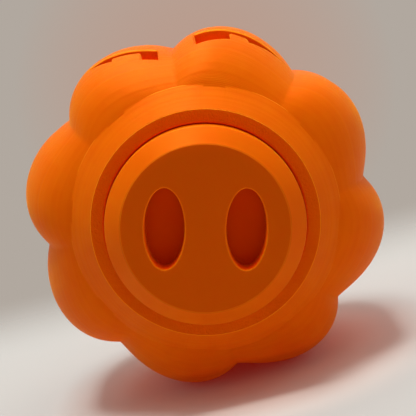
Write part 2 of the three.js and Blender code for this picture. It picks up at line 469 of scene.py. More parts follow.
@dataclass(frozen=True)
class Placement:
    """Where the frame has the upright drawing: laid on its back, with its axis at the lid's hinge."""

    matrix: Matrix

    @classmethod
    def from_frame(cls, frame: dict, collar_face: float) -> Placement:
        """Reads the place from the frame.

        Args:
            collar_face: height of the collar's flat face in the drawing, in mm.

        Returns:
            The placement.
        """
        hinge = next(joint for joint in frame["joints"] if joint["name"] == "lid_turn")
        across, _, height = hinge["pos_m"]
        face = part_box("pumpkin_shell")[0].y
        place = Matrix.Translation((across, face - collar_face * MM, height))
        return cls(place @ Matrix.Rotation(-math.pi / 2, 4, "X") @ Matrix.Scale(MM, 4))

    def along(self, height: float) -> float:
        """World Y, in metres, of a height in the drawing."""
        return (self.matrix @ Vector((0, 0, height))).y


@dataclass(frozen=True)
class PrintedPlastic:
    """Orange PLA as a desktop printer lays it down, warm from the nozzle.

    The plastic is satin and a little translucent, so light that has been through it comes out red, and a red
    glow is painted where that light would come out. Its level layers show as faint lines and streaks, and the
    face that lay on the build plate keeps the plate's grit. Shade is painted into creases, recesses and the
    plate's faces, and a highlight onto rounded edges.
    """

    name: str
    colour: str = "#f36c03"
    deep: str = "#ea5a01"  # where the layers came out lean
    edge: str = "#ff8a18"  # painted highlight on rounded edges
    # painted shade on the faces that lay on the plate, which face away from the lamps
    shaded_plate_side: str = "#ea5f03"
    # painted shade in creases and near the floor
    crease_shade: str = "#c43c00"
    crease_share: float = 0.85
    crease_reach: float = 6.5  # mm
    crease_open: Point = (0.4, 0.95)  # shares of open sky between which a crease's painted shade fades
    # painted shade deep in recesses
    recess: str = "#c02e00"
    recess_shade_share: float = 0.0
    recess_rim: Point = (0.1, 0.9)  # depths between which the painted glow under a rim fades
    # a painted red glow: emission that stands for light that has been through the plastic
    glow: str = "#ff2c00"
    glow_around: float = 0.01
    glow_below: float = 0.11
    glow_within: float = 0.5
    glow_rim: float = 0.0
    underside: Point = (-0.97, -0.5)  # upward slopes between which the painted glow below fades
    roughness: float = 0.42
    roughness_spread: float = 0.07
    ior: float = 1.46
    specular: float = 0.05  # the fine layers break up most of the gloss
    specular_tint: str = "#ff9a00"
    metallic: float = 0.08  # a trace, which keeps the gloss orange
    sheen: float = 0.35  # the soft light on a layered surface that is seen along its layers
    sheen_roughness: float = 0.45
    sheen_tint: str = "#ffb000"
    translucency: float = 0.4
    light_path: float = 5.0  # mm that red light travels in the plastic
    light_paths: tuple[float, float, float] = (1.0, 0.15, 0.03)  # shares of that for red, green and blue
    layer: float = LAYER
    layer_bump: float = 0.036  # mm
    streak: float = 0.9  # mm, groups of layers that came out a little fuller or leaner
    streak_tone: float = 0.6
    streak_bump: float = 2.2  # times a layer's
    mottle: float = 9.0  # mm, slow changes of tone
    bridging: float = 0.7  # mm, the rough strands of undersides that were printed over air
    plate_grain: float = 0.5  # mm, the plate's grit, drawn a little coarse so that it shows
    plate_bump: float = 0.28  # mm
    plate_reach: float = 0.15  # mm
    plate_dull: float = 0.15  # roughness that the grit adds

    def glow_strength(self, add: NodeAdder, place: Socket, within: Socket, inside: Socket) -> Socket:
        """Gives the strength of the painted red glow, emission that stands for light that has been through
        the plastic.

        Light that falls in from above wanders through the walls; the glow is painted where it would come out,
        below and in the hollows.

        Args:
            add: adds a node.
            place: the place on the piece.
            within: how deep the place lies under the skin.
            inside: 1 under the skin and 0 on it.

        Returns:
            The strength.
        """
        normal = add("ShaderNodeNewGeometry", out="Normal")
        upward = add("ShaderNodeSeparateXYZ", {0: normal}, "Z")
        low, high = self.underside
        limits = {1: low, 2: high, 3: self.glow_below, 4: self.glow_around}
        leak = add("ShaderNodeMapRange", {"Value": upward, **limits}, interpolation_type="SMOOTHSTEP")
        near, far = self.recess_rim
        rim = add("ShaderNodeMapRange", {"Value": within, 1: near, 2: far, 3: self.glow_rim, 4: 0.0})
        leak = add("ShaderNodeMath", {0: inside, 1: rim, 2: leak}, operation="MULTIPLY_ADD")
        strands = {"Vector": place, "Scale": 1 / (self.bridging * MM), "Detail": 2.0}
        rough = add("ShaderNodeTexNoise", strands)
        patchy = add("ShaderNodeMath", {0: within, 1: rough}, operation="MULTIPLY")
        # The strands' noise is about a half on average.
        terms = {0: patchy, 1: 2 * self.glow_within, 2: leak}
        return add("ShaderNodeMath", terms, operation="MULTIPLY_ADD")

    def skin_colour(self, add: NodeAdder, streaks: Socket, mottle: Socket, inside: Socket) -> Socket:
        """Gives the plastic's colour away from edges and from the plate, with painted shade in creases and
        recesses.

        Args:
            add: adds a node.
            streaks: how full the layers came out.
            mottle: the slow changes of tone.
            inside: 1 under the skin and 0 on it.

        Returns:
            The colour.
        """
        half = self.streak_tone / 2
        terms = {0: streaks, 1: self.streak_tone, 2: -half}
        fuller = add("ShaderNodeMath", terms, operation="MULTIPLY_ADD")
        tone = add("ShaderNodeMath", {0: fuller, 1: mottle}, use_clamp=True)
        # Painted shade in recesses, by how deep a place lies.
        sunk = add("ShaderNodeMath", {0: inside, 1: self.recess_shade_share}, operation="MULTIPLY")
        # Painted shade: creases, found by how little open sky they see, are drawn darker and redder.
        reach = {"Distance": self.crease_reach * MM}
        open_sky = add("ShaderNodeAmbientOcclusion", reach, "AO", samples=8)
        closed, opened = self.crease_open
        limits = {1: closed, 2: opened, 3: self.crease_share, 4: 0.0}
        crease_shaded = add("ShaderNodeMapRange", {"Value": open_sky, **limits})
        colour = linear_colour(self.deep)
        for share, other in ((tone, self.colour), (sunk, self.recess), (crease_shaded, self.crease_shade)):
            mixed = {0: share, 6: colour, 7: linear_colour(other)}
            colour = add("ShaderNodeMix", mixed, 2, data_type="RGBA")
        return colour

    def material(self, plate_face: float) -> bpy.types.Material:
        """Builds the material.

        Args:
            plate_face: world Y of the face that lay on the plate, in metres.

        Returns:
            The material.
        """
        made, shader, add = new_material(self.name)
        place = add("ShaderNodeTexCoord", out="Object")
        along = add("ShaderNodeSeparateXYZ", {0: place}, "Y")
        within = add("ShaderNodeAttribute", out="Fac", attribute_name=WITHIN)
        inside = add("ShaderNodeMapRange", {"Value": within, 1: 0.0, 2: self.recess_rim[0]})
        # A wave's period is 0.1 pi over its scale.
        waves = {"Vector": place, "Scale": 0.1 * math.pi / (self.layer * MM)}
        lines = add("ShaderNodeTexWave", waves, "Fac", bands_direction="Y")
        groups = {"W": along, "Scale": 1 / (self.streak * MM), "Detail": 3.0}
        streaks = add("ShaderNodeTexNoise", groups, noise_dimensions="1D")
        patches = {"Vector": place, "Scale": 1 / (self.mottle * MM), "Detail": 2.0}
        mottle = add("ShaderNodeTexNoise", patches)
        grains = {"Vector": place, "Scale": 1 / (self.plate_grain * MM), "Detail": 2.0}
        grit = add("ShaderNodeTexNoise", grains)
        reach = self.plate_reach * MM
        limits = {1: plate_face + reach, 2: plate_face + 2 * reach, 3: 1.0, 4: 0.0}
        # The faces that lay on the plate get the plate's grit, and painted shade.
        on_plate = add("ShaderNodeMapRange", {"Value": along, **limits})
        colour = self.skin_colour(add, streaks, mottle, inside)
        # Rounded edges get a painted highlight.
        edges = add("ShaderNodeAttribute", out="Fac", attribute_name=HIGHLIT_EDGE)
        for share, other in ((on_plate, self.shaded_plate_side), (edges, self.edge)):
            mixed = {0: share, 6: colour, 7: linear_colour(other)}
            colour = add("ShaderNodeMix", mixed, 2, data_type="RGBA")
        uneven = add("ShaderNodeMath", {0: lines, 1: mottle}, operation="MULTIPLY")
        terms = {0: streaks, 1: self.streak_bump, 2: uneven}
        height = add("ShaderNodeMath", terms, operation="MULTIPLY_ADD")
        layers = {"Strength": 1.0, "Distance": self.layer_bump * MM, "Height": height}
        bump = add("ShaderNodeBump", layers)
        gritty = {"Strength": on_plate, "Distance": self.plate_bump * MM, "Height": grit, "Normal": bump}
        bump = add("ShaderNodeBump", gritty)
        smooth, rough = self.roughness - self.roughness_spread, self.roughness + self.roughness_spread
        gloss = add("ShaderNodeMapRange", {"Value": streaks, "To Min": smooth, "To Max": rough})
        terms = {0: on_plate, 1: self.plate_dull, 2: gloss}
        gloss = add("ShaderNodeMath", terms, operation="MULTIPLY_ADD")
        sockets = {
            "Base Color": colour,
            "Roughness": gloss,
            "Normal": bump,
            "Metallic": self.metallic,
            "IOR": self.ior,
            "Specular IOR Level": self.specular,
            "Specular Tint": linear_colour(self.specular_tint),
            "Sheen Weight": self.sheen,
            "Sheen Roughness": self.sheen_roughness,
            "Sheen Tint": linear_colour(self.sheen_tint),
            "Subsurface Weight": self.translucency,
            "Subsurface Radius": self.light_paths,
            "Subsurface Scale": self.light_path * MM,
            "Emission Color": linear_colour(self.glow),
            "Emission Strength": self.glow_strength(add, place, within, inside),
        }
        feed(made.node_tree, shader, sockets)
        return made


@dataclass(frozen=True)
class SiliconeRubber:
    """Moulded silicone rubber: milky, soft and matt, with the fine grain of its mould."""

    name: str = "silicone_rubber_moulded"
    colour: str = "#d9d4c8"
    dusty: str = "#c9c2b3"
    roughness: float = 0.62
    ior: float = 1.41
    translucency: float = 0.3
    light_path: float = 1.0  # mm
    grain: float = 0.3  # mm
    grain_bump: float = 0.02  # mm

    def material(self) -> bpy.types.Material:
        """Builds the material.

        Returns:
            The material.
        """
        made, shader, add = new_material(self.name)
        place = add("ShaderNodeTexCoord", out="Object")
        grains = {"Vector": place, "Scale": 1 / (self.grain * MM), "Detail": 3.0}
        grain = add("ShaderNodeTexNoise", grains)
        mixed = {0: grain, 6: linear_colour(self.dusty), 7: linear_colour(self.colour)}
        relief = {"Strength": 1.0, "Distance": self.grain_bump * MM, "Height": grain}
        sockets = {
            "Base Color": add("ShaderNodeMix", mixed, 2, data_type="RGBA"),
            "Normal": add("ShaderNodeBump", relief),
            "Roughness": self.roughness,
            "IOR": self.ior,
            "Subsurface Weight": self.translucency,
            "Subsurface Scale": self.light_path * MM,
        }
        feed(made.node_tree, shader, sockets)
        return made


@dataclass(frozen=True)
class Fits:
    """Sizes that the shell, the lid and the seal ring share, in mm along and round the stem's axis."""

    collar_face: float = -35.6
    seat_depth: float = 3.5
    lid_radius: float = 25.85
    lid_gap: float = 0.4
    lid_ledge: float = 4.45
    plug_length: float = 10.4
    thread_gap: float = 0.4
    thread_lead: float = 15.0
    ring_thickness: float = 1.4
    ring_inset: float = 0.7
    ring_gap: float = 0.35
    seat_gap: float = 0.3
    neck_length: float = 9.0
    facets: int = 192

    @property
    def seat(self) -> float:
        """Height of the step that the seal ring lies on."""
        return self.collar_face + self.seat_depth

    @property
    def head_underside(self) -> float:
        """Height of the underside of the lid's head."""
        return self.seat - self.ring_thickness - 2 * self.seat_gap

    @property
    def plug_end(self) -> float:
        """Height of the plug's inner end."""
        return self.head_underside + self.plug_length

    @property
    def neck_end(self) -> float:
        """Height of the neck's inner end."""
        return self.seat + self.neck_length

    @property
    def seat_radius(self) -> float:
        """Radius of the recess round the lid's head."""
        return self.lid_radius + self.lid_gap

    @property
    def plug_radius(self) -> float:
        """Radius of the plug under its thread."""
        return self.lid_radius - self.lid_ledge

    @property
    def bore_radius(self) -> float:
        """Radius of the neck's bore over the plug."""
        return self.plug_radius + self.thread_gap


@dataclass
class Thread:
    """A coarse thread of three starts: ridges on the lid's plug, or the grooves that they run in."""

    radius: float
    lead: float
    start: float  # height of the first end
    length: float  # rise from end to end
    height: float  # of the ridge over the radius
    root_width: float
    crest_width: float
    starts: int = 3
    sunk: float = 0.4  # how far the ridge is rooted under the radius
    steps_per_turn: int = 96

    def mesh(self) -> bpy.types.Mesh:
        """Sweeps the ridge's section along a right-handed helix, once for each start.

        Returns:
            The ridges.
        """
        sizes = {
            "Radius": self.radius + self.height / 2 - self.sunk / 2,
            "Rotations": self.length / self.lead,
            "Rise": self.length,
            "Section Height": self.height + self.sunk,
            "Root": self.root_width,
            "Crest": self.crest_width,
            "Starts": float(self.starts),
        }
        shape = ShapeTree("Thread ridges", list(sizes))
        add, given = shape.add, shape.given
        spiral = {
            "Resolution": self.steps_per_turn,
            "Rotations": given["Rotations"],
            "Start Radius": given["Radius"],
            "End Radius": given["Radius"],
            "Height": given["Rise"],
        }
        helix = add("GeometryNodeCurveSpiral", spiral)
        upright = add("GeometryNodeSetCurveNormal", {"Curve": helix}, mode="Z_UP")
        widths = {"Bottom Width": given["Root"], "Top Width": given["Crest"]}
        trapezoid = {"Height": given["Section Height"], **widths}
        section = add("GeometryNodeCurvePrimitiveQuadrilateral", trapezoid, mode="TRAPEZOID")
        turned = add("GeometryNodeTransform", {"Geometry": section, "Rotation": (0.0, 0.0, -math.pi / 2)})
        swept = {"Curve": upright, "Profile Curve": turned, "Fill Caps": True}
        ridge = add("GeometryNodeCurveToMesh", swept)
        places = add("GeometryNodePoints", {"Count": given["Starts"]})
        index = add("GeometryNodeInputIndex")
        share = add("ShaderNodeMath", {0: index, 1: given["Starts"]}, operation="DIVIDE")
        angle = add("ShaderNodeMath", {0: share, 1: 2 * math.pi}, operation="MULTIPLY")
        turn = add("ShaderNodeCombineXYZ", {"Z": angle})
        copies = {"Points": places, "Instance": ridge, "Rotation": turn}
        shape.end(add("GeometryNodeInstanceOnPoints", copies))
        mesh = shape.run(bpy.data.meshes.new("thread"), sizes)
        lift = Matrix.Translation((0, 0, self.start))
        # The helix starts at +X; this turns it so that all threads pass one angle at one height.
        clock = Matrix.Rotation(2 * math.pi * self.start / self.lead, 4, "Z")
        mesh.transform(lift @ clock)
        return mesh


@dataclass(frozen=True)
class MeridianPoint:
    """A point of the body's meridian, with its outward normal and the creases' depth and slant there."""

    radius: float
    height: float
    outwards: Point
    share: float
    lean: float


@dataclass
class LobedBody:
    """The pumpkin's eight leaning lobes."""

    lobes: int = 8
    radius: float = 50.0
    lobe_round: float = 20.3
    shoulder: float = 24.2
    base_depth: float = 32.03
    crown_height: float = 36.5
    band_below: float = 10.0  # straight stretch from the waist towards the base
    band_above: float = 5.0
    crease_round: float = 0.6
    crease_fade: float = 2.2  # power by which the creases run out towards the collar
    crease_turn: float = math.radians(2.1)
    lobe_lean: float = math.radians(2.4)  # how far a lobe's crest lies to one side of its middle
    base_lean: float = math.radians(8.7)  # the same at the collar
    crown_lobes: float = 0.5  # share of the creases' depth that is left at the crown's crest
    dimple_depth: float = 7.0

    @property
    def crest_radius(self) -> float:
        """Radius of the ring where the shoulders end."""
        return self.radius - self.shoulder

    @property
    def dimple_floor(self) -> float:
        """Height of the hollow round the stem."""
        return self.crown_height - self.dimple_depth

    def shoulder_points(self, end: End, steps: int) -> Iterator[MeridianPoint]:
        """Gives one shoulder's quarter of an ellipse, from the waist to the crest.

        Args:
            end: the shoulder's end of the body.
            steps: rows on the shoulder.

        Returns:
            The points in order.
        """
        base = end is End.BASE
        band = self.band_below if base else self.band_above
        rise = (self.base_depth if base else self.crown_height) - band
        for i in range(steps + 1):
            turn = i / steps * math.pi / 2
            across, up = math.cos(turn), math.sin(turn)
            out = Vector((across / self.shoulder, end.value * up / rise)).normalized()
            crown_share = self.crown_lobes + (1 - self.crown_lobes) * across**2
            yield MeridianPoint(
                self.crest_radius + self.shoulder * across,
                end.value * (band + rise * up),
                tuple(out),
                max(0.0, across) ** self.crease_fade if base else crown_share,
                self.lobe_lean + (self.base_lean - self.lobe_lean) * up if base else self.lobe_lean,
            )

    def dimple_points(self, steps: int) -> Iterator[MeridianPoint]:
        """Gives the hollow round the stem, from the crest to the axis.

        Args:
            steps: rows in the hollow.

        Returns:
            The points in order.
        """
        for i in range(1, steps + 1):
            left = 1 - i / steps
            slope = self.dimple_depth * math.pi * math.sin(math.pi * left) / (2 * self.crest_radius)
            out = Vector((-slope, 1)).normalized() if left > 0 else Vector((0, 1))
            drop = self.dimple_depth * (1 + math.cos(math.pi * left)) / 2
            height = self.crown_height - drop
            share = self.crown_lobes * left
            yield MeridianPoint(self.crest_radius * left, height, tuple(out), share, self.lobe_lean)

    def meridian(self, steps: int) -> list[MeridianPoint]:
        """Lists the meridian from the base's middle, over the waist, to the dimple's middle.

        Args:
            steps: rows on each shoulder.

        Returns:
            The points in order.
        """
        middle = MeridianPoint(0.0, -self.base_depth, (0.0, -1.0), 0.0, self.base_lean)
        base = list(self.shoulder_points(End.BASE, steps))
        crown = self.shoulder_points(End.CROWN, steps)
        return [middle, *reversed(base), *crown, *self.dimple_points(max(4, steps // 2))]

    def plain(self, steps: int, facets: int) -> bpy.types.Mesh:
        """Makes the body of revolution, with what the creases need stored on its corners.

        Args:
            steps: rows on each shoulder.
            facets: flats on each lobe.

        Returns:
            The mesh, with the attributes past_crease, crease_share, crease_lean and outwards.
        """
        rows = self.meridian(steps)
        count = self.lobes * facets
        mesh = revolve([(row.radius, row.height) for row in rows], count)
        mesh.transform(Matrix.Rotation(self.crease_turn, 4, "Z"))
        past, share, lean, outwards = [], [], [], []
        for row in rows:
            for i in range(count if row.radius > 0 else 1):
                angle = 2 * math.pi * i / count
                turned = angle + self.crease_turn
                across, up = row.outwards
                past.append(angle)
                share.append(row.share)
                lean.append(row.lean)
                outwards += (across * math.sin(turned), -across * math.cos(turned), up)
        for name, values in (("past_crease", past), ("crease_share", share), ("crease_lean", lean)):
            mesh.attributes.new(name, "FLOAT", "POINT").data.foreach_set("value", values)
        mesh.attributes.new("outwards", "FLOAT_VECTOR", "POINT").data.foreach_set("vector", outwards)
        return mesh

    @staticmethod
    def reach_steps(lobe: str, off: str) -> tuple[tuple[str, ...], ...]:
        """Lists the steps that give how far a round lobe reaches at an angle off its crest.

        Args:
            lobe: a word for the lobe, put before the names of its values.
            off: the name of the angle.

        Returns:
            The lines of the formula, of which the last gives the reach.
        """
        return (
            (f"{lobe} sine", "SINE", off),
            (f"{lobe} aside", "MULTIPLY", "centre", f"{lobe} sine"),
            (f"{lobe} aside squared", "MULTIPLY", f"{lobe} aside", f"{lobe} aside"),
            (f"{lobe} chord squared", "SUBTRACT", "round squared", f"{lobe} aside squared"),
            (f"{lobe} chord", "SQRT", f"{lobe} chord squared"),
            (f"{lobe} cosine", "COSINE", off),
            (f"{lobe} reach", "MULTIPLY_ADD", "centre", f"{lobe} cosine", f"{lobe} chord"),
        )

    def mesh(self, steps: int, facets: int, inset: float = 0.0) -> bpy.types.Mesh:
        """Presses the creases into the body of revolution.

        Args:
            steps: rows on each shoulder.
            facets: flats on each lobe.
            inset: how far the whole surface is drawn in, in mm.

        Returns:
            The lobed body.
        """
        sizes = {
            "Lobe Count": float(self.lobes),
            "Body Radius": self.radius,
            "Lobe Round": self.lobe_round,
            "Crease Round": self.crease_round,
            "Inset": inset,
        }
        shape = ShapeTree("Lobed body", list(sizes))
        known: dict[str, Value] = {name: shape.given[name] for name in ("Geometry", *sizes)}
        for name in ("past_crease", "crease_share", "crease_lean"):
            known[name] = shape.add("GeometryNodeInputNamedAttribute", {"Name": name})
        # Each line names a value, an operation and what goes in.
        formula = (
            ("lobe", "DIVIDE", 2 * math.pi, "Lobe Count"),
            ("half", "DIVIDE", "lobe", 2.0),
            ("in lobe", "FLOORED_MODULO", "past_crease", "lobe"),
            ("off middle", "SUBTRACT", "in lobe", "half"),
            ("outness", "DIVIDE", "off middle", "half"),
            ("outness squared", "MULTIPLY", "outness", "outness"),
            ("inness", "SUBTRACT", 1.0, "outness squared"),
            ("off top", "MULTIPLY_ADD", "crease_lean", "inness", "off middle"),
            ("centre", "SUBTRACT", "Body Radius", "Lobe Round"),
            ("round squared", "MULTIPLY", "Lobe Round", "Lobe Round"),
            *self.reach_steps("own", "off top"),
            ("off crest", "ABSOLUTE", "off top"),
            ("off next", "SUBTRACT", "lobe", "off crest"),
            *self.reach_steps("next", "off next"),
            ("reach", "SMOOTH_MAX", "own reach", "next reach", "Crease Round"),
            ("depth", "SUBTRACT", "Body Radius", "reach"),
            ("cut", "MULTIPLY_ADD", "depth", "crease_share", "Inset"),
            ("inwards", "MULTIPLY", "cut", -1.0),
        )
        for name, operation, *terms in formula:
            sources = {i: known.get(term, term) for i, term in enumerate(terms)}
            known[name] = shape.add("ShaderNodeMath", sources, operation=operation)
        named = {"Name": "outwards"}
        outwards = shape.add("GeometryNodeInputNamedAttribute", named, data_type="FLOAT_VECTOR")
        scaled = {0: outwards, "Scale": known["inwards"]}
        offset = shape.add("ShaderNodeVectorMath", scaled, operation="SCALE")
        shape.end(shape.add("GeometryNodeSetPosition", {"Geometry": known["Geometry"], "Offset": offset}))
        return shape.run(self.plain(steps, facets), sizes)


@dataclass
class Stem:
    """The ribbed stem that flares at its root and leans as it rises."""

    radius: float = 8.5
    flare: float = 4.5
    height: float = 17.0
    root: float = 1.5
    lean: float = 3.5
    ribs: int = 5
    rib_depth: float = 1.2
    top_round: float = 1.4
    top_dish: float = 0.4
    facets: int = 120
    steps: int = 22

    def mesh(self, dimple_floor: float) -> bpy.types.Mesh:
        """Makes the stem on the dimple's floor.

        Args:
            dimple_floor: the floor's height.

        Returns:
            The stem.
        """
        foot, top = dimple_floor - self.root, dimple_floor + self.height
        rise = top - foot
        corners = [(0.0, foot, 0.0)]
        for i in range(self.steps):
            level = i / self.steps
            corners.append((self.radius + self.flare * (1 - level) ** 3, foot + rise * level, 0.0))
        corners += [(self.radius, top, self.top_round), (0.0, top - self.top_dish, 0.0)]
        mesh = revolve(rounded_profile(corners), self.facets)
        for vertex in mesh.vertices:
            x, y, z = vertex.co
            level = (z - foot) / rise
            around = math.hypot(x, y)
            rib = self.rib_depth * (1 - math.cos(self.ribs * math.atan2(y, x))) / 2
            drawn_in = max(0.0, 1 - rib * min(1.0, around / self.radius) / max(around, 1e-6))
            vertex.co = (x * drawn_in + self.lean * level**2, y * drawn_in, z)
        return mesh


@dataclass
class CarvedFace:
    """The jack-o'-lantern face cut straight through the front wall, in mm across and up."""

    centre: float = 3.7
    mouth_half_width: float = 26.5
    upper_lip: float = -14.5
    lower_lip: float = -21.2
    corner: float = -14.5
    slant: float = -0.03  # rise of the whole mouth for each millimetre across
    bridge: Point = (-2.1, 8.6)
    left_tooth: Point = (-14.4, -6.4)
    right_tooth: Point = (17.7, 22.3)
    tooth_gap: float = 2.0
    tooth_round: float = 0.7
    tooth_bulge: float = 0.3  # share of the rounding that is cut off at its middle
    eye_spread: float = 14.0
    eye_width: float = 12.0
    eye_height: float = 10.0
    eye_base: float = 4.0
    rim_round: float = 0.45
    step: float = 0.7

    def lip(self, middle: float, x: float) -> float:
        """Height of a lip across the mouth: its middle height, curving to the corners, on a slant.

        Args:
            middle: its height at the mouth's centre.
            x: the place across.

        Returns:
            The height.
        """
        across = x - self.centre
        curve = (self.corner - middle) * (across / self.mouth_half_width) ** 2
        return middle + curve + self.slant * across

    def lip_points(self, middle: float, start: float, end: float) -> Outline:
        """Points along a lip, ends included.

        Args:
            middle: the lip's height at the mouth's centre.
            start: the first end, across.
            end: the other end.

        Returns:
            The points.
        """
        count = max(1, round(abs(end - start) / self.step))
        across = [start + (end - start) * i / count for i in range(count + 1)]
        return [(x, self.lip(middle, x)) for x in across]

    def mouth_half(self, inner: float, corner: float, tooth: Point) -> Outline:
        """Outlines half the grin.

        Args:
            inner: where the bridge ends.
            corner: where the mouth ends.
            tooth: both sides of the tooth that stands on the lower lip.

        Returns:
            The outline.
        """
        outwards = math.copysign(1, corner - inner)
        near, far = sorted(tooth, key=lambda x: outwards * x)
        cut = outwards * self.tooth_round
        bulge = self.tooth_bulge
        tips = [self.lip(self.upper_lip, x) - self.tooth_gap for x in (near, far)]
        tooth_points = [
            (near, tips[0] - self.tooth_round),
            (near + cut * bulge, tips[0] - self.tooth_round * bulge),
            (near + cut, tips[0]),
            (far - cut, tips[1]),
            (far - cut * bulge, tips[1] - self.tooth_round * bulge),
            (far, tips[1] - self.tooth_round),
        ]
        return [
            *self.lip_points(self.lower_lip, inner, near),
            *tooth_points,
            *self.lip_points(self.lower_lip, far, corner),
            *self.lip_points(self.upper_lip, corner, inner)[1:],
        ]

    def eye(self, x: float) -> Outline:
        """Outlines a triangular eye, pointing up.

        Args:
            x: its middle, across.

        Returns:
            The outline.
        """
        corners = [
            Vector((x - self.eye_width / 2, self.eye_base)),
            Vector((x + self.eye_width / 2, self.eye_base)),
            Vector((x, self.eye_base + self.eye_height)),
        ]
        outline = []
        for start, end in zip(corners, corners[1:] + corners[:1]):
            count = round((end - start).length / self.step)
            outline += [tuple(start.lerp(end, i / count)) for i in range(count)]
        return outline

    def outlines(self) -> list[Outline]:
        """Outlines of all that is carved.

        Returns:
            The two halves of the grin and the two eyes.
        """
        return [
            self.mouth_half(self.bridge[0], self.centre - self.mouth_half_width, self.left_tooth),
            self.mouth_half(self.bridge[1], self.centre + self.mouth_half_width, self.right_tooth),
            self.eye(self.centre - self.eye_spread),
            self.eye(self.centre + self.eye_spread),
        ]

    def cutter(self, outline: Outline, skin: BVHTree, reach: float) -> bpy.types.Mesh:
        """Makes a cutter that rounds the rim where it leaves the skin.

        Args:
            outline: what is cut.
            skin: the body's outside.
            reach: distance from the axis that clears the body.

        Returns:
            The closed cutter.
        """
        levels = [(self.rim_round, None)]
        for i in range(ROUND_STEPS + 1):
            turn = i / ROUND_STEPS * math.pi / 2
            levels.append((self.rim_round * (1 - math.sin(turn)), self.rim_round * (1 - math.cos(turn))))
        loops = []
        for grow, drop in levels:
            loop = []
            for x, z in grown(outline, grow):
                hit = skin.ray_cast(Vector((x, -reach, z)), Vector((0, 1, 0)))[0]
                loop.append((x, -reach if drop is None else hit.y + drop, z))
            loops.append(loop)
        loops.append([(x, 0.0, z) for x, _, z in loops[-1]])
        return loft(loops)


@dataclass
class Piece:
    """A finished mesh with its place in the frame."""

    name: str
    node: str
    body: str
    slot: str

    def place(
        self, mesh: bpy.types.Mesh, material: bpy.types.Material, placement: Placement
    ) -> bpy.types.Object:
        """Lays a mesh in the frame, dresses it and lets it stand for its CAD node.

        Args:
            mesh: the upright mesh, in mm.
            material: its finish.
            placement: where the drawing goes.

        Returns:
            The object.
        """
        merge_slivers(mesh)
        mark_edges(mesh)
        mesh.transform(placement.matrix)
        mesh.name = self.name
        mesh.materials.clear()
        mesh.materials.append(material)
        made = bpy.data.objects.new(self.name, shaded(mesh))
        bpy.context.scene.collection.objects.link(made)
        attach(made, self.body)
        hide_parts(self.node)
        triangles = sum(len(face.vertices) - 2 for face in made.data.polygons)
        LOG.info("%s: %d triangles", self.name, triangles)
        return made


